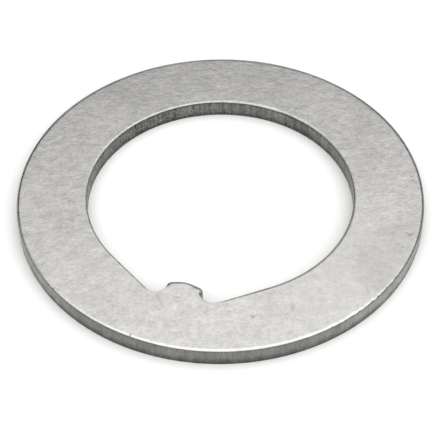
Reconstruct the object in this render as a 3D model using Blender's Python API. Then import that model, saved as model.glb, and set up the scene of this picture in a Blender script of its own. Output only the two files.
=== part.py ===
"""Spacer ring: a flat ring blanked from steel plate, with one key tab standing into its bore.

Metres, +Z up. The origin is the centre of the underside. The key tab is on the -Y side of the
bore and points at the centre. It stands between two round pockets, and a straight relief flat
runs from each pocket to where it touches the bore.
"""

from math import acos, asin, ceil, cos, hypot, pi, radians, sin, sqrt, tau

import bmesh
import bpy

# The ring: FACE_WIDTH is measured from the bore circle to the outer rim
BORE_DIAMETER = 0.070
FACE_WIDTH = 0.0184
THICKNESS = 0.005

# The key tab: KEY_REACH is how far its tip stands inside the bore circle
KEY_WIDTH = 0.0092
KEY_REACH = 0.0027
KEY_TIP_RADIUS = 0.011
KEY_CORNER_RADIUS = 0.0014

# The pockets at the key's root, and the angle from the key to where a relief flat meets the bore
POCKET_RADIUS = 0.0027
RELIEF_ANGLE = radians(36)

# The upper edge, rolled over as the plate is blanked: widest on the key, tightest in the pockets
OUTER_ROLL = 0.00085
BORE_ROLL = 0.00055
KEY_ROLL = 0.0011
POCKET_ROLL = 0.0002

# How far along the rim the key's and the pockets' rolls take to fade into the bore's
ROLL_FADE = 0.004

# The lower edge, broken by tumbling
LOWER_ROUND = 0.0003

# Facets: how far one may lie inside its arc, and how many make each rolled and rounded edge
FACET_DEPTH = 0.00001
ROLL_FACETS = 4
LOWER_FACETS = 3

# A fillet that is too large for its wall is tried again at this share of its size
SHRINK = 0.98

# A roll may take up this share of the corner that it runs round
ROLL_SHARE = 0.8

STEEL_COLOUR = (0.46, 0.46, 0.445, 1.0)
STEEL_ROUGHNESS = 0.42

BORE_RADIUS = BORE_DIAMETER / 2
OUTER_RADIUS = BORE_RADIUS + FACE_WIDTH
TIP_CENTRE_Y = KEY_REACH - BORE_RADIUS - KEY_TIP_RADIUS


def clear_scene():
    """Removes the objects that the file opens with."""
    for item in list(bpy.data.objects):
        bpy.data.objects.remove(item, do_unlink=True)


def arc(centre, radius, start, end):
    """Points along an arc, both ends included, with as many facets as FACET_DEPTH asks for."""
    step = 2 * acos(1 - FACET_DEPTH / radius)
    facets = max(1, ceil(abs(end - start) / step))
    angles = [start + (end - start) * i / facets for i in range(facets + 1)]
    return [(centre[0] + radius * cos(a), centre[1] + radius * sin(a)) for a in angles]


def between(start, end):
    """Points inside a straight stretch, close enough together to follow the roll as it fades."""
    parts = max(1, ceil(hypot(end[0] - start[0], end[1] - start[1]) / (ROLL_FADE / 2)))
    shares = [i / parts for i in range(1, parts)]
    return [(start[0] + (end[0] - start[0]) * s, start[1] + (end[1] - start[1]) * s) for s in shares]


def corner_centre(radius):
    """Centre of the key's corner: tangent inside the crowned tip and to the flank."""
    x = KEY_WIDTH / 2 - radius
    return x, TIP_CENTRE_Y + sqrt((KEY_TIP_RADIUS - radius) ** 2 - x**2)


def pocket_centre(radius):
    """Centre of the pocket: tangent to the key's flank and to the relief flat."""
    x = KEY_WIDTH / 2 + radius
    return x, (x * sin(RELIEF_ANGLE) + radius - BORE_RADIUS) / cos(RELIEF_ANGLE)


def fillet_radii():
    """Corner and pocket radii, shrunk together until the key's flank has room for both."""
    corner, pocket = KEY_CORNER_RADIUS, POCKET_RADIUS
    while corner_centre(corner)[1] < pocket_centre(pocket)[1]:
        corner *= SHRINK
        pocket *= SHRINK
    return corner, pocket


def keyed_bore():
    """The hole's outline, counter-clockwise from the middle of the key's tip."""
    corner_radius, pocket_radius = fillet_radii()
    corner = corner_centre(corner_radius)
    pocket = pocket_centre(pocket_radius)
    tip_end = pi / 2 - asin(corner[0] / (KEY_TIP_RADIUS - corner_radius))
    flat = RELIEF_ANGLE - pi / 2

    half = arc((0, TIP_CENTRE_Y), KEY_TIP_RADIUS, pi / 2, tip_end)
    half += arc(corner, corner_radius, tip_end, 0)[1:]
    half += arc(pocket, pocket_radius, pi, tau + flat)
    bore = arc((0, 0), BORE_RADIUS, flat, pi / 2)
    half += between(half[-1], bore[0]) + bore
    return half + [(-x, y) for x, y in reversed(half[1:-1])]


def outer_rim():
    """The ring's outside, counter-clockwise."""
    return arc((0, 0), OUTER_RADIUS, -pi / 2, tau - pi / 2)[:-1]


def fade(distance):
    """1 at no distance, falling smoothly to 0 at ROLL_FADE."""
    share = min(1, max(0, distance / ROLL_FADE))
    return 1 - share * share * (3 - 2 * share)


def bore_roll(x, y):
    """How wide the upper edge is rolled over at a point of the hole's outline."""
    corner_radius, pocket_radius = fillet_radii()
    pocket_x, pocket_y = pocket_centre(pocket_radius)
    off_pocket = hypot(abs(x) - pocket_x, y - pocket_y + pocket_radius)
    off_key = hypot(x, y - KEY_REACH + BORE_RADIUS) - KEY_WIDTH / 2
    key_roll = min(KEY_ROLL, ROLL_SHARE * corner_radius)
    return BORE_ROLL + (key_roll - BORE_ROLL) * fade(off_key) + (POCKET_ROLL - BORE_ROLL) * fade(off_pocket)


def inward(outline, side):
    """Unit normals into the material: side is 1 for the outer rim and -1 for the hole."""
    normals = []
    for i in range(len(outline)):
        before, after = outline[i - 1], outline[(i + 1) % len(outline)]
        along = (after[0] - before[0], after[1] - before[1])
        length = hypot(*along)
        normals.append((-side * along[1] / length, side * along[0] / length))
    return normals


def section(roll):
    """The wall's section from the upper face down: how far in from the outline, and how high."""
    upper = [pi / 2 * i / ROLL_FACETS for i in range(ROLL_FACETS + 1)]
    lower = [pi / 2 * i / LOWER_FACETS for i in range(LOWER_FACETS + 1)]
    rolled = [(roll * (1 - sin(a)), THICKNESS - roll * (1 - cos(a))) for a in upper]
    rounded = [(LOWER_ROUND * (1 - cos(a)), LOWER_ROUND * (1 - sin(a))) for a in lower]
    return rolled + rounded


def add_wall(solid, outline, rolls, side):
    """Sweeps the section round a closed outline, and returns its uppermost and lowest edges."""
    columns = []
    for (x, y), (nx, ny), roll in zip(outline, inward(outline, side), rolls):
        columns.append([solid.verts.new((x + nx * d, y + ny * d, z)) for d, z in section(roll)])
    for i, column in enumerate(columns):
        before = columns[i - 1]
        for k in range(len(column) - 1):
            face = solid.faces.new((before[k], before[k + 1], column[k + 1], column[k]))
            face.smooth = True
    upper = [solid.edges.get((columns[i - 1][0], columns[i][0])) for i in range(len(columns))]
    lower = [solid.edges.get((columns[i - 1][-1], columns[i][-1])) for i in range(len(columns))]
    return upper, lower


def blanked_ring(name):
    """The ring as one closed mesh: two swept walls and the two flat faces between them."""
    solid = bmesh.new()
    hole = keyed_bore()
    rim = outer_rim()
    rim_upper, rim_lower = add_wall(solid, rim, [OUTER_ROLL] * len(rim), 1)
    hole_upper, hole_lower = add_wall(solid, hole, [bore_roll(x, y) for x, y in hole], -1)
    bmesh.ops.triangle_fill(solid, edges=rim_upper + hole_upper, use_beauty=True)
    bmesh.ops.triangle_fill(solid, edges=rim_lower + hole_lower, use_beauty=True)
    bmesh.ops.recalc_face_normals(solid, faces=solid.faces)
    mesh = bpy.data.meshes.new(name)
    solid.to_mesh(mesh)
    solid.free()
    return bpy.data.objects.new(name, mesh)


def steel():
    """Bare satin plate steel."""
    material = bpy.data.materials.new("steel")
    material.use_nodes = True
    shader = material.node_tree.nodes["Principled BSDF"]
    shader.inputs["Base Color"].default_value = STEEL_COLOUR
    shader.inputs["Metallic"].default_value = 1.0
    shader.inputs["Roughness"].default_value = STEEL_ROUGHNESS
    return material


def build():
    clear_scene()
    collection = bpy.data.collections.new("spacer_ring")
    bpy.context.scene.collection.children.link(collection)
    ring = blanked_ring("spacer_ring")
    ring.data.materials.append(steel())
    collection.objects.link(ring)


build()
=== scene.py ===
from math import asin, atan2, ceil, cos, hypot, pi, radians, sin, sqrt, tau
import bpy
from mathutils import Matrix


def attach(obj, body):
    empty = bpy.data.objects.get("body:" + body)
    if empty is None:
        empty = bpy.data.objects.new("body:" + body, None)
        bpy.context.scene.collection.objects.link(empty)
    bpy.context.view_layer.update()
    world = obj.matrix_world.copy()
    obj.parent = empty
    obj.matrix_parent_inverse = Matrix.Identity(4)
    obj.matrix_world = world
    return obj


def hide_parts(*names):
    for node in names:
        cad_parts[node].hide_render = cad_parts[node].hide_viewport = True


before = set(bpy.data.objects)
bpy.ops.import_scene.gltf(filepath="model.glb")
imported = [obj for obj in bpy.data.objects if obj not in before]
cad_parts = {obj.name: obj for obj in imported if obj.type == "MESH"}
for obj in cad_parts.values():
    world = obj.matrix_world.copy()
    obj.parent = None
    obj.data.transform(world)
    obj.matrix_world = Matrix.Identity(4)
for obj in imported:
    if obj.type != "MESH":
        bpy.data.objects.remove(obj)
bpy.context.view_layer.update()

from types import SimpleNamespace

import bmesh
import bpy
from mathutils import Matrix, Vector, noise

# The ring's sizes, in metres, as the CAD solid has them
BORE_RADIUS = 0.035
OUTER_RADIUS = 0.0534
THICKNESS = 0.005
KEY_WIDTH = 0.0092
KEY_REACH = 0.0027
KEY_TIP_RADIUS = 0.011
KEY_CORNER_RADIUS = 0.0014
POCKET_RADIUS = 0.0027
RELIEF_ANGLE = radians(36)

# The lower edge's round, which is a little tighter than the solid's
LOWER_ROUND = 0.0002

# The rolled edge's width and depth: at the outer rim in front and behind, at the bore, and at the
# key's tip, its two corners and the pockets beside it
OUTER_ROLL = Vector((0.0009, 0.0009))
OUTER_ROLL_BEHIND = Vector((0.00135, 0.00048))
BORE_ROLL = Vector((0.00052, 0.00052))
KEY_ROLL = Vector((0.0008, 0.00038))
KEY_CORNER_ROLL_LEFT = Vector((0.00115, 0.0005))
KEY_CORNER_ROLL_RIGHT = Vector((0.0013, 0.00085))
POCKET_ROLL = Vector((0.0002, 0.0002))

# How far along the rim, in metres, the rolls of the pockets, corners and flanks take to fade
ROLL_FADE = 0.004
CORNER_FADE = 0.0028
FLANK_FADE_LEFT = 0.0009
FLANK_FADE_RIGHT = 0.0026

# Stretches of the rims: each has its direction from the camera's right, and how far to each side of
# it the stretch is full and gone, all in degrees. The bore's have a roll of their own
OUTER_BEHIND = (90, 50, 94)
OUTER_DINGED = (312, 10, 18)
BORE_STRETCHES = (
    ((42, 18, 34), Vector((0.0007, 0.0007))),
    ((155, 14, 28), Vector((0.00062, 0.00062))),
    ((208, 16, 46), Vector((0.0006, 0.00048))),
    ((315, 28, 52), Vector((0.00098, 0.00042))),
)

# The dings' size along the rim, and the most that they change the roll by
DING_SIZE = 0.0013
DING_SHARE = 0.55

# The cut wall: the punch burnishes its upper part, and the lowest part tears away and tapers in
# from a wavy line. The waves and the torn metal's roughness have two sizes of features each
TORN_HEIGHT = 0.0014
TORN_TAPER = 0.00005
TORN_ROUGHNESS = 0.00002
TORN_FEATURES = (0.0005, 0.0012)
SHEAR_WAVE = 0.0002
LONG_WAVE = 0.006
SHORT_WAVE = 0.0011
SHORT_WAVE_SHARE = 0.5

# How far apart the outline's points are, and how many rows each part of the section has
POINT_STEP = 0.00035
TURN_STEP = radians(7)
ROLL_ROWS = 12
BURNISHED_ROWS = 6
TORN_ROWS = 5
LOWER_ROWS = 4

# The photograph's camera, with the ring's centre close to the middle of its picture
FRAME_PIXELS = 440
FOCAL_PIXELS = 1587.6
SENSOR_WIDTH = 36.0
CAMERA_BACK = 0.29120
CAMERA_HEIGHT = 0.30343
CAMERA_YAW = radians(-0.0291)
CAMERA_PITCH = radians(46.710)
CAMERA_ROLL = radians(0.5927)
CAMERA_AZIMUTH = radians(15.42)
CAMERA_CLIP_START = 0.01

# The softboxes' height over the table, and for each its left, right, front and back edges as the
# camera sees them, in metres, and the brightness of its face
CEILING = 1.2
SOFTBOXES = {
    "left_softbox": (-2.2, -0.35, 0.3, 1.32, 0.86),
    "side_softbox": (-2.2, -1.0, -1.25, 0.3, 0.90),
    "right_softbox": (-0.35, 2.2, 0.3, 1.32, 1.55),
    "overhead_softbox": (-1.0, 2.0, -0.1, 0.3, 1.72),
    "near_softbox": (-1.0, 2.0, -0.8, -0.1, 1.42),
    "front_softbox": (-1.0, 2.2, -1.8, -0.8, 1.65),
}

# The room's brightness, every 45 degrees counter-clockwise from the camera's right: near the
# horizon, and in a band over it, whose limits are the sines of their angles over the horizon
ROOM_LEVELS = (0.42, 0.12, 0.54, 0.0, 0.62, 0.72, 0.48, 0.42)
BAND_LEVELS = (0.42, 0.12, 0.50, 0.0, 0.62, 0.72, 2.45, 2.2)
BAND_BOTTOM = 0.24
BAND_TOP = 0.5
BAND_EDGE = 0.05

FLOOR_RADIUS = 1.5
FLOOR_SEGMENTS = 96
FLOOR_DROP = 0.00001
FLOOR_COLOUR = (0.97, 0.97, 0.955, 1.0)

# The material's zones. Levelness is 1 where the surface is level and 0 where it is upright, and the
# other limits are heights and distances from the axis in metres. Here and below, a pair that is
# mixed by bore is for the outer rim and for the bore
ROLLED_LEVELNESS = (0.9995, 0.96)
CUT_LEVELNESS = (0.3, 0.02)
# At the outer rim the wall's darker tone starts higher up the rolled edge, as painted shade on the
# highlight's lower side
WALL_STARTS = (0.83, 0.75)
WALL_ENDS = (0.55, 0.45)
BORE_LIMITS = (0.040, 0.044)
SHADE_BAND_LIMITS = (0.0038, 0.0044)
TORN_STARTS = (0.0026, 0.0018)
TORN_ENDS = (0.0006, 0.0009)
LOWEST_SHADE_LIMITS = (-0.0001, 0.0006)

# The key's middle, and how far from it the painted shade on the key's rolled edge and walls reaches
KEY_MIDDLE = (0, -0.0335, 0)
KEY_EDGE_SHADE_LIMITS = (0.0062, 0.0074)
KEY_WALL_SHADE_LIMITS = (0.0058, 0.0072)

# Patterns: features per metre, detail and roughness, and how each is stretched
CLOUDS = (80, 2, 0.5)
MOTTLE = (520, 2, 0.6)
GRAIN = (1900, 2, 0.6)
FACE_STRETCH = (0.8, 1, 1)
STREAKS = (1400, 4, 0.65)
STREAK_STRETCH = (1, 1, 0.08)
BROAD_STREAKS = (260, 2, 0.5)
BROAD_STRETCH = (1, 1, 0.03)
SPECKS = (2300, 2, 0.6)
SPECK_STRETCH = (1, 1, 0.7)
RAGGED = (420, 2, 0.6)
RAGGED_STRETCH = (1, 1, 0.3)
RAGGED_DEPTH = 0.0032
FRAYED_SCALE = 900
FRAYED_SIZE = (0.0012, 0.0012, 0)

# The faces' tone, and how much each pattern changes it. The plate is smoother in one patch, and its
# grain is weaker towards the key
FACE_TONE = 0.56
CLOUD_DEPTH = 0.14
MOTTLE_DEPTH = 0.26
GRAIN_DEPTH = 0.36
PATCH_MIDDLE = (0.034, -0.030, THICKNESS)
PATCH_LIMITS = (0.010, 0.030)
PATCH_SHARES = (0.74, 1.04)
GRAIN_LIMITS = (-0.030, 0.010)
GRAIN_SHARES = (0.8, 1.0)

# How much paler or darker the rolled edge is: at the outer rim by how far a point is across the
# ring, at the bore in front and behind, and on the key as a share. The outer rim's edge is paler
# across the middle, and its darkening towards both sides, at the bore behind and on the key is
# painted shade
OUTER_EDGE_SHADE_RIGHT = (0.032, 0.048, 0.11, -0.13)
OUTER_EDGE_SHADE_LEFT = (-0.039, -0.050, 0.11, -0.07)
BORE_EDGE_SHADE = (0.02, -0.07)
BEHIND_SHADE_LIMITS = (-0.006, 0.006)
KEY_EDGE_SHADE_SHARE = 0.75

# The walls' tone, and how much each pattern changes it. At the bore, each depth goes from where the
# wall is plain to where it is speckled
# The walls are darker than the faces partly for the cut steel and partly as painted shade of the
# table that they mirror, and the bore's wall is darker still as painted shade
WALL_TONE = (0.213, 0.16)
STREAK_DEPTH = 0.22
STREAK_DEPTH_BORE = (0.40, 0.24)
SPECK_DEPTH = 0.20
SPECK_DEPTH_BORE = (0.32, 0.58)
SPECKLED_LIMITS = (0.004, -0.014)
BROAD_DEPTH = 0.12

# How the walls' tone changes across the ring, from and to which place, and from and to which share:
# painted light makes both sides paler, and painted shade darkens the far right end
PAINTED_LIGHT_WALL_LEFT = (-0.030, -0.046, 1.0, 1.35)
PAINTED_LIGHT_WALL_RIGHT = (0.018, 0.044, 1.0, 1.5)
PAINTED_SHADE_WALL_END = (0.0475, 0.0525, 1.0, 0.58)

# The share of its tone that the wall keeps: where it is torn, partly for the torn metal and partly
# as painted shade, which at the outer wall changes with the distance across the ring, and as
# painted shade lowest down, on the key, and in the band under the rolled edge
TORN_AND_SHADE_SHARE_OUTER = (0.016, 0.040, 0.58, 0.46)
TORN_AND_SHADE_SHARE_BORE = 0.6
LOWEST_SHADE_SHARE = 0.45
KEY_WALL_SHADE_SHARE = 0.35
BAND_SHADE_SHARES = (0.88, 0.7)

# The steel's red and blue as shares of its tone, its roughness on the faces, rolled edges and
# walls, how much the clouds add to it, and how deep the bumps of the patterns are in metres
STEEL_RED = 1.012
STEEL_BLUE = 0.976
FACE_ROUGHNESS = 0.30
ROLL_ROUGHNESS = (0.20, 0.27)
WALL_ROUGHNESS = 0.42
CLOUD_ROUGHNESS = 0.08
MOTTLE_BUMP = 0.00005
GRAIN_BUMP = 0.00002
STREAK_BUMP = 0.00002

# Stains and nicks on the upper face. Each has its middle, in mm to the right of the ring's centre
# and behind it as the camera sees it, its half length and half width in mm, the angle of its
# length from the camera's right in degrees, how sharp its edge is from 0 to 1, and how much
# darker it makes the steel
MARK_DEPTH = 0.0015
MARKS = (
    (46.5, -25.0, 13.5, 13.5, 0, 0.85, 0.08),
    (-26.0, 40.0, 9.0, 5.0, -30, 0.2, 0.07),
    (38.6, -31.2, 3.4, 2.8, 40, 0.6, 0.05),
    (36.3, -34.5, 1.3, 0.22, 96, 0.3, 0.18),
    (17.4, -39.7, 1.5, 0.55, 90, 0.2, 0.17),
    (7.6, -42.8, 0.7, 0.30, 60, 0.3, 0.30),
    (-3.6, -40.3, 1.6, 0.30, 66, 0.3, 0.12),
    (-15.0, -37.6, 1.5, 0.30, 100, 0.3, 0.12),
    (-9.6, -40.6, 1.1, 2.2, 0, 0.2, 0.05),
    (-11.3, -36.2, 0.5, 0.5, 0, 0.3, 0.14),
    (-31.9, -27.0, 1.0, 1.2, 0, 0.2, 0.07),
    (-27.5, -37.3, 0.5, 0.4, 0, 0.3, 0.14),
    (48.6, -15.9, 0.8, 0.26, 25, 0.4, 0.40),
    (47.8, -15.6, 0.6, 0.24, -38, 0.4, 0.34),
    (46.0, -20.3, 0.3, 0.22, 0, 0.4, 0.30),
    (44.9, -18.9, 0.7, 0.2, 30, 0.4, 0.12),
    (50.7, 5.1, 0.28, 0.24, 0, 0.5, 0.45),
    (47.6, 1.6, 1.5, 0.5, 20, 0.2, 0.07),
    (-49.8, 14.0, 0.3, 0.26, 0, 0.5, 0.40),
    (-39.2, -2.5, 0.45, 0.35, 0, 0.4, 0.24),
    (-38.5, -9.7, 0.5, 0.3, 20, 0.4, 0.14),
    (-1.3, 48.2, 0.6, 0.35, -40, 0.3, 0.16),
    (-22.2, -48.0, 0.6, 0.22, 65, 0.4, 0.5),
    (-41.7, -32.8, 0.6, 0.25, 38, 0.4, 0.4),
)

tip_centre_y = KEY_REACH - BORE_RADIUS - KEY_TIP_RADIUS


def arc(centre, radius, start, end):
    """Points along an arc, both ends included."""
    parts = max(2, ceil(abs(end - start) * max(radius / POINT_STEP, 1 / TURN_STEP)))
    angles = [start + (end - start) * i / parts for i in range(parts + 1)]
    return [(centre[0] + radius * cos(a), centre[1] + radius * sin(a)) for a in angles]


def straight(start, end):
    """Points inside a straight stretch."""
    across, up = end[0] - start[0], end[1] - start[1]
    parts = max(1, ceil(hypot(across, up) / POINT_STEP))
    shares = [i / parts for i in range(1, parts)]
    return [(start[0] + across * s, start[1] + up * s) for s in shares]


def pocket_centre():
    x = KEY_WIDTH / 2 + POCKET_RADIUS
    return x, (x * sin(RELIEF_ANGLE) + POCKET_RADIUS - BORE_RADIUS) / cos(RELIEF_ANGLE)


def key_corner():
    """Centre of the key's rounded corner."""
    x = KEY_WIDTH / 2 - KEY_CORNER_RADIUS
    return x, tip_centre_y + sqrt((KEY_TIP_RADIUS - KEY_CORNER_RADIUS) ** 2 - x**2)


def keyed_bore():
    """The hole's outline, counter-clockwise from the middle of the key's tip."""
    corner = key_corner()
    pocket = pocket_centre()
    tip_end = pi / 2 - asin(corner[0] / (KEY_TIP_RADIUS - KEY_CORNER_RADIUS))
    flat = RELIEF_ANGLE - pi / 2

    half = arc((0, tip_centre_y), KEY_TIP_RADIUS, pi / 2, tip_end)
    half += arc(corner, KEY_CORNER_RADIUS, tip_end, 0)[1:]
    root = arc(pocket, POCKET_RADIUS, pi, tau + flat)
    half += straight(half[-1], root[0]) + root
    bore = arc((0, 0), BORE_RADIUS, flat, pi / 2)
    half += straight(half[-1], bore[0]) + bore
    return half + [(-x, y) for x, y in reversed(half[1:-1])]


def outer_rim():
    return arc((0, 0), OUTER_RADIUS, -pi / 2, tau - pi / 2)[:-1]


def fade(distance, reach):
    """1 at no distance, falling smoothly to 0 at the reach."""
    share = min(1, max(0, distance / reach))
    return 1 - share * share * (3 - 2 * share)


def facing(x, y, degrees, full, none):
    """1 within full degrees of a direction from the camera's right, and 0 past none degrees."""
    off = abs((atan2(y, x) - CAMERA_AZIMUTH - radians(degrees) + pi) % tau - pi)
    return fade(off - radians(full), radians(none - full))


def outer_roll(x, y):
    """How wide and how deep the upper edge is rolled over at a point of the outer rim."""
    dinged = facing(x, y, *OUTER_DINGED)
    roll = OUTER_ROLL * (1 + DING_SHARE * dinged * ripple(x, y, 0, DING_SIZE))
    return roll.lerp(OUTER_ROLL_BEHIND, facing(x, y, *OUTER_BEHIND))


def bore_roll(x, y):
    """How wide and how deep the upper edge is rolled over at a point of the hole's outline."""
    roll = BORE_ROLL
    for stretch, stretch_roll in BORE_STRETCHES:
        roll = roll.lerp(stretch_roll, facing(x, y, *stretch))
    pocket_x, pocket_y = pocket_centre()
    corner_x, corner_y = key_corner()
    if abs(x) > pocket_x:
        off_pocket = hypot(abs(x) - pocket_x, y - pocket_y + POCKET_RADIUS)
        return roll.lerp(POCKET_ROLL, fade(off_pocket, ROLL_FADE))
    corner_roll, flank_fade = KEY_CORNER_ROLL_RIGHT, FLANK_FADE_RIGHT
    if x < 0:
        corner_roll, flank_fade = KEY_CORNER_ROLL_LEFT, FLANK_FADE_LEFT
    off_corner = hypot(abs(x) - corner_x, y - corner_y) - KEY_CORNER_RADIUS
    key_roll = KEY_ROLL.lerp(corner_roll, fade(off_corner, CORNER_FADE))
    return POCKET_ROLL.lerp(key_roll, fade(corner_y - y, flank_fade))


def ripple(x, y, z, size):
    """Smooth noise between -1 and 1 with features of about this size."""
    return noise.noise(Vector((x, y, z)) / size)


def section(x, y, roll):
    """The wall's section from the top, at a point of the outline: how far in, and how high."""
    rows = []
    width, depth = roll
    for i in range(ROLL_ROWS + 1):
        a = pi / 2 * i / ROLL_ROWS
        rows.append((width * (1 - sin(a)), THICKNESS - depth * (1 - cos(a))))
    wave = ripple(x, y, 0, LONG_WAVE) + SHORT_WAVE_SHARE * ripple(x, y, 0, SHORT_WAVE)
    torn = TORN_HEIGHT + SHEAR_WAVE * wave
    top = THICKNESS - depth
    for i in range(1, BURNISHED_ROWS + 1):
        rows.append((0, top + (torn - top) * i / BURNISHED_ROWS))
    for i in range(1, TORN_ROWS):
        share = i / TORN_ROWS
        z = torn + (LOWER_ROUND - torn) * share
        rough = TORN_ROUGHNESS * sum(ripple(x, y, z, size) for size in TORN_FEATURES)
        rows.append((TORN_TAPER * share + abs(rough), z))
    for i in range(LOWER_ROWS + 1):
        a = pi / 2 * i / LOWER_ROWS
        rows.append((TORN_TAPER + LOWER_ROUND * (1 - cos(a)), LOWER_ROUND * (1 - sin(a))))
    return rows


def inward(outline, side):
    """Unit normals into the material: side is 1 for the outer rim and -1 for the hole."""
    normals = []
    for i in range(len(outline)):
        before, after = outline[i - 1], outline[(i + 1) % len(outline)]
        along = (after[0] - before[0], after[1] - before[1])
        length = hypot(*along)
        normals.append((-side * along[1] / length, side * along[0] / length))
    return normals


def add_wall(solid, outline, rolls, side):
    """Sweeps the section round a closed outline, and returns its uppermost and lowest edges."""
    columns = []
    for (x, y), (nx, ny), roll in zip(outline, inward(outline, side), rolls):
        rows = section(x, y, roll)
        columns.append([solid.verts.new((x + nx * d, y + ny * d, z)) for d, z in rows])
    for i, column in enumerate(columns):
        before = columns[i - 1]
        for k in range(len(column) - 1):
            solid.faces.new((before[k], before[k + 1], column[k + 1], column[k]))
    upper = [solid.edges.get((columns[i - 1][0], columns[i][0])) for i in range(len(columns))]
    lower = [solid.edges.get((columns[i - 1][-1], columns[i][-1])) for i in range(len(columns))]
    return upper, lower


def ring_piece():
    """The blanked ring, with its rolled edge, its burnished wall and its torn lower edge."""
    solid = bmesh.new()
    hole, rim = keyed_bore(), outer_rim()
    rim_upper, rim_lower = add_wall(solid, rim, [outer_roll(x, y) for x, y in rim], 1)
    hole_upper, hole_lower = add_wall(solid, hole, [bore_roll(x, y) for x, y in hole], -1)
    flats = []
    for edges in (rim_upper + hole_upper, rim_lower + hole_lower):
        filled = bmesh.ops.triangle_fill(solid, edges=edges, use_beauty=True)
        flats += [f for f in filled["geom"] if isinstance(f, bmesh.types.BMFace)]
    bmesh.ops.recalc_face_normals(solid, faces=solid.faces)
    for face in solid.faces:
        face.smooth = True
    for face in flats:
        face.smooth = False
    mesh = bpy.data.meshes.new("blanked_ring")
    solid.to_mesh(mesh)
    solid.free()
    ring = bpy.data.objects.new("blanked_ring", mesh)
    bpy.context.scene.collection.objects.link(ring)
    return ring


class Nodes:
    """Adds shader nodes to one tree. An argument is a number or another node's output."""

    def __init__(self, tree):
        self.tree = tree

    def add(self, kind, inputs=None, **settings):
        node = self.tree.nodes.new(kind)
        for name, value in settings.items():
            setattr(node, name, value)
        for key, value in (inputs or {}).items():
            if isinstance(value, bpy.types.NodeSocket):
                self.tree.links.new(value, node.inputs[key])
            else:
                node.inputs[key].default_value = value
        return node

    def math(self, operation, a, b=0.0, c=0.0):
        return self.add("ShaderNodeMath", {0: a, 1: b, 2: c}, operation=operation).outputs[0]

    def vector(self, operation, a, b=(0, 0, 0), c=(0, 0, 0)):
        return self.add("ShaderNodeVectorMath", {0: a, 1: b, 2: c}, operation=operation).outputs

    def split(self, vector):
        return self.add("ShaderNodeSeparateXYZ", {"Vector": vector}).outputs

    def range(self, value, low, high, to_low=0.0, to_high=1.0):
        """Goes smoothly from one number to another as the value goes from low to high."""
        limits = {"From Min": low, "From Max": high, "To Min": to_low, "To Max": to_high}
        inputs = {"Value": value, **limits}
        node = self.add("ShaderNodeMapRange", inputs, interpolation_type="SMOOTHSTEP")
        return node.outputs["Result"]

    def scaled(self, vector, scale):
        inputs = {"Vector": vector, "Scale": scale}
        return self.add("ShaderNodeMapping", inputs).outputs["Vector"]

    def noise(self, vector, scale, detail, roughness):
        inputs = {"Vector": vector, "Scale": scale, "Detail": detail, "Roughness": roughness}
        return self.add("ShaderNodeTexNoise", inputs).outputs["Fac"]

    def levels(self, value, levels):
        """The levels in turn as the value goes from 0 to 1, and back to the first."""
        node = self.add("ShaderNodeValToRGB", {"Fac": value})
        elements = node.color_ramp.elements
        for i, level in enumerate((*levels, levels[0])):
            if 0 < i < len(levels):
                element = elements.new(i / len(levels))
            else:
                element = elements[0 if i == 0 else -1]
            element.color = (level, level, level, 1.0)
        return self.add("ShaderNodeSeparateColor", {"Color": node.outputs["Color"]}).outputs["Red"]

    def mix(self, factor, a, b):
        """Numbers, from a to b."""
        return self.add("ShaderNodeMix", {"Factor": factor, "A": a, "B": b}).outputs["Result"]

    def vary(self, value, pattern, depth):
        """The value, raised and lowered by a pattern that lies about 0.5."""
        return self.math("MULTIPLY_ADD", self.math("SUBTRACT", pattern, 0.5), depth, value)

    def turned(self, vector):
        """A vector in the photograph's axes, which lie at a fixed angle to the ring's."""
        inputs = {"Vector": vector, "Angle": -CAMERA_AZIMUTH}
        node = self.add("ShaderNodeVectorRotate", inputs, rotation_type="Z_AXIS")
        return node.outputs["Vector"]


def marked(n, place):
    """The share of the tone that the marks leave, at a place in the photograph's axes."""
    left = 1.0
    for x, y, length, width, degrees, sharp, darker in MARKS:
        inputs = {
            "Vector": place,
            "Location": (x / 1000, y / 1000, THICKNESS),
            "Rotation": (0, 0, radians(degrees)),
            "Scale": (length / 1000, width / 1000, MARK_DEPTH),
        }
        mapped = n.add("ShaderNodeMapping", inputs, vector_type="TEXTURE").outputs["Vector"]
        off = n.vector("LENGTH", mapped)["Value"]
        left = n.math("MULTIPLY", left, n.range(off, sharp, 2 - sharp, 1 - darker, 1.0))
    return left


def new_material(name):
    material = bpy.data.materials.new(name)
    material.use_nodes = True
    tree = material.node_tree
    tree.nodes.clear()
    return material, Nodes(tree)


def rolled_edge(n, tone, zones):
    """The faces' tone, with the rolled edge paler across the middle, and painted shade on it at the
    sides, at the bore behind and at the key.
    """
    behind = n.math("MULTIPLY", zones.bore, n.range(zones.away, *BEHIND_SHADE_LIMITS))
    right = n.range(zones.across, *OUTER_EDGE_SHADE_RIGHT)
    left = n.range(zones.across, *OUTER_EDGE_SHADE_LEFT)
    outer = n.math("MINIMUM", right, left)
    # The rolled edge's darker stretches are painted shade
    pale_and_shaded_shift = n.mix(zones.bore, outer, n.mix(behind, *BORE_EDGE_SHADE))
    tone = n.math("MULTIPLY_ADD", zones.rolled, pale_and_shaded_shift, tone)
    key_edge_shade = n.math("MULTIPLY", zones.rolled, n.range(zones.off_key, *KEY_EDGE_SHADE_LIMITS, 1.0, 0.0))
    return n.math("MULTIPLY", tone, n.mix(key_edge_shade, 1.0, KEY_EDGE_SHADE_SHARE))


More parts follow.
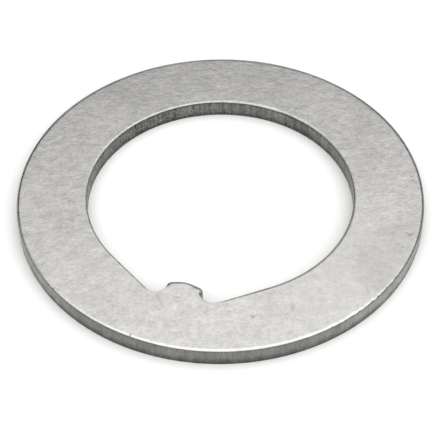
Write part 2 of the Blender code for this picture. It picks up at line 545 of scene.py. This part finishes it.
def face_look(n, zones):
    """Clouds, mottling and a fine grain, drawn out along the rolling direction: tone and bumps."""
    along = n.scaled(zones.turned, FACE_STRETCH)
    mottle = n.noise(along, *MOTTLE)
    grain = n.noise(along, *GRAIN)
    off_patch = n.vector("DISTANCE", zones.turned, PATCH_MIDDLE)["Value"]
    coarse = n.range(off_patch, *PATCH_LIMITS, *PATCH_SHARES)
    fine = n.math("MULTIPLY", coarse, n.range(zones.away, *GRAIN_LIMITS, *GRAIN_SHARES))
    tone = n.vary(FACE_TONE, zones.clouds, CLOUD_DEPTH)
    tone = n.vary(tone, mottle, n.math("MULTIPLY", coarse, MOTTLE_DEPTH))
    tone = n.vary(tone, grain, n.math("MULTIPLY", fine, GRAIN_DEPTH))
    tone = rolled_edge(n, tone, zones)

    # The marks' edges are frayed
    noise_inputs = {"Vector": zones.place, "Scale": FRAYED_SCALE}
    colour = n.add("ShaderNodeTexNoise", noise_inputs).outputs["Color"]
    jitter = n.vector("SUBTRACT", colour, (0.5, 0.5, 0.5))["Vector"]
    frayed = n.vector("MULTIPLY_ADD", jitter, FRAYED_SIZE, zones.turned)["Vector"]
    tone = n.math("MULTIPLY", tone, marked(n, frayed))

    bumps = n.math("MULTIPLY", n.math("MULTIPLY", mottle, coarse), MOTTLE_BUMP)
    bumps = n.math("MULTIPLY_ADD", n.math("MULTIPLY", grain, fine), GRAIN_BUMP, bumps)
    return tone, bumps


def wall_look(n, zones):
    """Upright streaks, specks and a torn lower part, with painted light and painted shade: tone and
    bumps.
    """
    streaks = n.noise(n.scaled(zones.place, STREAK_STRETCH), *STREAKS)
    broad = n.noise(n.scaled(zones.place, BROAD_STRETCH), *BROAD_STREAKS)
    specks = n.noise(n.scaled(zones.place, SPECK_STRETCH), *SPECKS)
    speckled = n.range(zones.across, *SPECKLED_LIMITS)
    streak_depth = n.mix(zones.bore, STREAK_DEPTH, n.mix(speckled, *STREAK_DEPTH_BORE))
    speck_depth = n.mix(zones.bore, SPECK_DEPTH, n.mix(speckled, *SPECK_DEPTH_BORE))
    tone = n.vary(n.mix(zones.bore, *WALL_TONE), streaks, streak_depth)
    tone = n.vary(tone, specks, speck_depth)
    tone = n.vary(tone, broad, BROAD_DEPTH)
    # Painted light makes the walls paler at both sides, and painted shade darkens them at the far
    # right end
    for change in (PAINTED_LIGHT_WALL_LEFT, PAINTED_LIGHT_WALL_RIGHT, PAINTED_SHADE_WALL_END):
        tone = n.math("MULTIPLY", tone, n.range(zones.across, *change))

    # The line where the metal tore is ragged
    ragged = n.noise(n.scaled(zones.place, RAGGED_STRETCH), *RAGGED)
    height = n.vary(zones.height, ragged, -RAGGED_DEPTH)
    torn = n.range(height, n.mix(zones.bore, *TORN_STARTS), n.mix(zones.bore, *TORN_ENDS))
    # The torn part is darker partly for the torn metal and partly as painted shade; the lowest
    # edge, the key's walls and the band under the rolled edge are darker as painted shade
    torn_and_shade_outer = n.range(n.math("ABSOLUTE", zones.across), *TORN_AND_SHADE_SHARE_OUTER)
    torn_and_shade_share = n.mix(zones.bore, torn_and_shade_outer, TORN_AND_SHADE_SHARE_BORE)
    lowest = n.mix(zones.bore, n.range(height, *LOWEST_SHADE_LIMITS, LOWEST_SHADE_SHARE, 1.0), 1.0)
    band = n.range(zones.height, *SHADE_BAND_LIMITS)
    tone = n.math("MULTIPLY", tone, n.mix(torn, 1.0, torn_and_shade_share))
    tone = n.math("MULTIPLY", tone, lowest)
    tone = n.math("MULTIPLY", tone, n.range(zones.off_key, *KEY_WALL_SHADE_LIMITS, KEY_WALL_SHADE_SHARE, 1.0))
    tone = n.math("MULTIPLY", tone, n.mix(band, 1.0, n.mix(zones.bore, *BAND_SHADE_SHARES)))
    return tone, n.math("MULTIPLY", streaks, STREAK_BUMP)


def steel():
    """Satin plate steel: mottled, finely grained faces, and streaked walls, darker where torn, with
    painted shade on the walls and rolled edges and painted light on the walls' sides.
    """
    material, n = new_material("satin_steel")
    zones = SimpleNamespace()
    zones.place = n.add("ShaderNodeTexCoord").outputs["Object"]
    place = n.split(zones.place)
    zones.height = place["Z"]
    inputs = {"X": place["X"], "Y": place["Y"]}
    level_place = n.add("ShaderNodeCombineXYZ", inputs).outputs["Vector"]
    zones.off_key = n.vector("DISTANCE", level_place, KEY_MIDDLE)["Value"]
    zones.bore = n.range(n.vector("LENGTH", level_place)["Value"], *BORE_LIMITS, 1.0, 0.0)
    zones.clouds = n.noise(zones.place, *CLOUDS)

    # The plate was rolled along the photograph's X
    zones.turned = n.turned(zones.place)
    turned = n.split(zones.turned)
    zones.across, zones.away = turned["X"], turned["Y"]

    normal = n.add("ShaderNodeNewGeometry").outputs["Normal"]
    levelness = n.math("ABSOLUTE", n.split(normal)["Z"])
    zones.rolled = n.range(levelness, *ROLLED_LEVELNESS)
    wall = n.range(levelness, n.mix(zones.bore, *WALL_STARTS), n.mix(zones.bore, *WALL_ENDS))
    cut = n.range(levelness, *CUT_LEVELNESS)

    face_tone, face_bumps = face_look(n, zones)
    wall_tone, wall_bumps = wall_look(n, zones)
    tone = n.mix(wall, face_tone, wall_tone)
    colour = n.add("ShaderNodeCombineColor", {
        "Red": n.math("MULTIPLY", tone, STEEL_RED),
        "Green": tone,
        "Blue": n.math("MULTIPLY", tone, STEEL_BLUE),
    })
    smooth = n.mix(zones.rolled, FACE_ROUGHNESS, n.mix(zones.bore, *ROLL_ROUGHNESS))
    face_roughness = n.math("MULTIPLY_ADD", zones.clouds, CLOUD_ROUGHNESS, smooth)
    bump = n.add("ShaderNodeBump", {
        "Strength": 1.0,
        "Distance": 1.0,
        "Height": n.mix(wall, face_bumps, wall_bumps),
    })
    shader = n.add("ShaderNodeBsdfPrincipled", {
        "Base Color": colour.outputs["Color"],
        "Metallic": 1.0,
        "Roughness": n.mix(cut, face_roughness, WALL_ROUGHNESS),
        "Normal": bump.outputs["Normal"],
    })
    n.add("ShaderNodeOutputMaterial", {"Surface": shader.outputs["BSDF"]})
    return material


def floor_piece():
    """A plain white table top, just under the ring."""
    solid = bmesh.new()
    bmesh.ops.create_circle(solid, cap_ends=True, segments=FLOOR_SEGMENTS, radius=FLOOR_RADIUS)
    mesh = bpy.data.meshes.new("floor")
    solid.to_mesh(mesh)
    solid.free()
    floor = bpy.data.objects.new("floor", mesh)
    floor.location.z = -FLOOR_DROP
    bpy.context.scene.collection.objects.link(floor)
    material, n = new_material("white_floor")
    shader = n.add("ShaderNodeBsdfDiffuse", {"Color": FLOOR_COLOUR})
    n.add("ShaderNodeOutputMaterial", {"Surface": shader.outputs["BSDF"]})
    mesh.materials.append(material)
    return floor


def camera():
    """The photograph's camera, turned about the ring to where the photo shows the key."""
    level = cos(CAMERA_PITCH)
    ahead = Vector((sin(CAMERA_YAW) * level, cos(CAMERA_YAW) * level, -sin(CAMERA_PITCH)))
    right = ahead.cross(Vector((0, 0, 1))).normalized()
    down = ahead.cross(right)
    rolled_right = right * cos(CAMERA_ROLL) + down * sin(CAMERA_ROLL)
    rolled_down = down * cos(CAMERA_ROLL) - right * sin(CAMERA_ROLL)
    axes = Matrix((rolled_right, -rolled_down, -ahead)).transposed().to_4x4()
    data = bpy.data.cameras.new("camera")
    data.sensor_width = SENSOR_WIDTH
    data.lens = FOCAL_PIXELS * SENSOR_WIDTH / FRAME_PIXELS
    data.clip_start = CAMERA_CLIP_START
    eye = bpy.data.objects.new("camera", data)
    place = Matrix.Translation((0, -CAMERA_BACK, CAMERA_HEIGHT)) @ axes
    eye.matrix_world = Matrix.Rotation(CAMERA_AZIMUTH, 4, "Z") @ place
    bpy.context.scene.collection.objects.link(eye)
    bpy.context.scene.camera = eye


def softbox(name, left, right, front, back, brightness):
    """A softbox in the ceiling."""
    data = bpy.data.lights.new(name, "AREA")
    data.shape = "RECTANGLE"
    data.size = right - left
    data.size_y = back - front
    data.energy = pi * brightness * data.size * data.size_y
    lamp = bpy.data.objects.new(name, data)
    place = Matrix.Translation(((left + right) / 2, (front + back) / 2, CEILING))
    lamp.matrix_world = Matrix.Rotation(CAMERA_AZIMUTH, 4, "Z") @ place
    bpy.context.scene.collection.objects.link(lamp)


def surroundings():
    """A room that is dark behind the ring's shoulders, with a bright band low in front of it."""
    world = bpy.data.worlds.new("studio")
    world.use_nodes = True
    world.node_tree.nodes.clear()
    n = Nodes(world.node_tree)
    toward = n.split(n.turned(n.add("ShaderNodeTexCoord").outputs["Generated"]))
    angle = n.math("ARCTAN2", toward["Y"], toward["X"])
    azimuth = n.math("FRACT", n.math("DIVIDE", angle, tau))
    walls = n.levels(azimuth, ROOM_LEVELS)
    band = n.levels(azimuth, BAND_LEVELS)
    up = toward["Z"]
    low = n.math("MULTIPLY", walls, n.range(up, BAND_BOTTOM + BAND_EDGE, BAND_BOTTOM - BAND_EDGE))
    high = n.math("MULTIPLY", band, n.range(up, BAND_BOTTOM - BAND_EDGE, BAND_BOTTOM + BAND_EDGE))
    high = n.math("MULTIPLY", high, n.range(up, BAND_TOP + BAND_EDGE, BAND_TOP - BAND_EDGE))
    light = n.math("ADD", low, high)
    room = n.add("ShaderNodeBackground", {"Strength": light})
    n.add("ShaderNodeOutputWorld", {"Surface": room.outputs["Background"]})
    bpy.context.scene.world = world


ring = ring_piece()
ring.data.materials.append(steel())
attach(ring, "root")
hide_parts("spacer_ring")
floor_piece()
camera()
for name, values in SOFTBOXES.items():
    softbox(name, *values)
surroundings()
bpy.context.scene.view_settings.view_transform = "Standard"
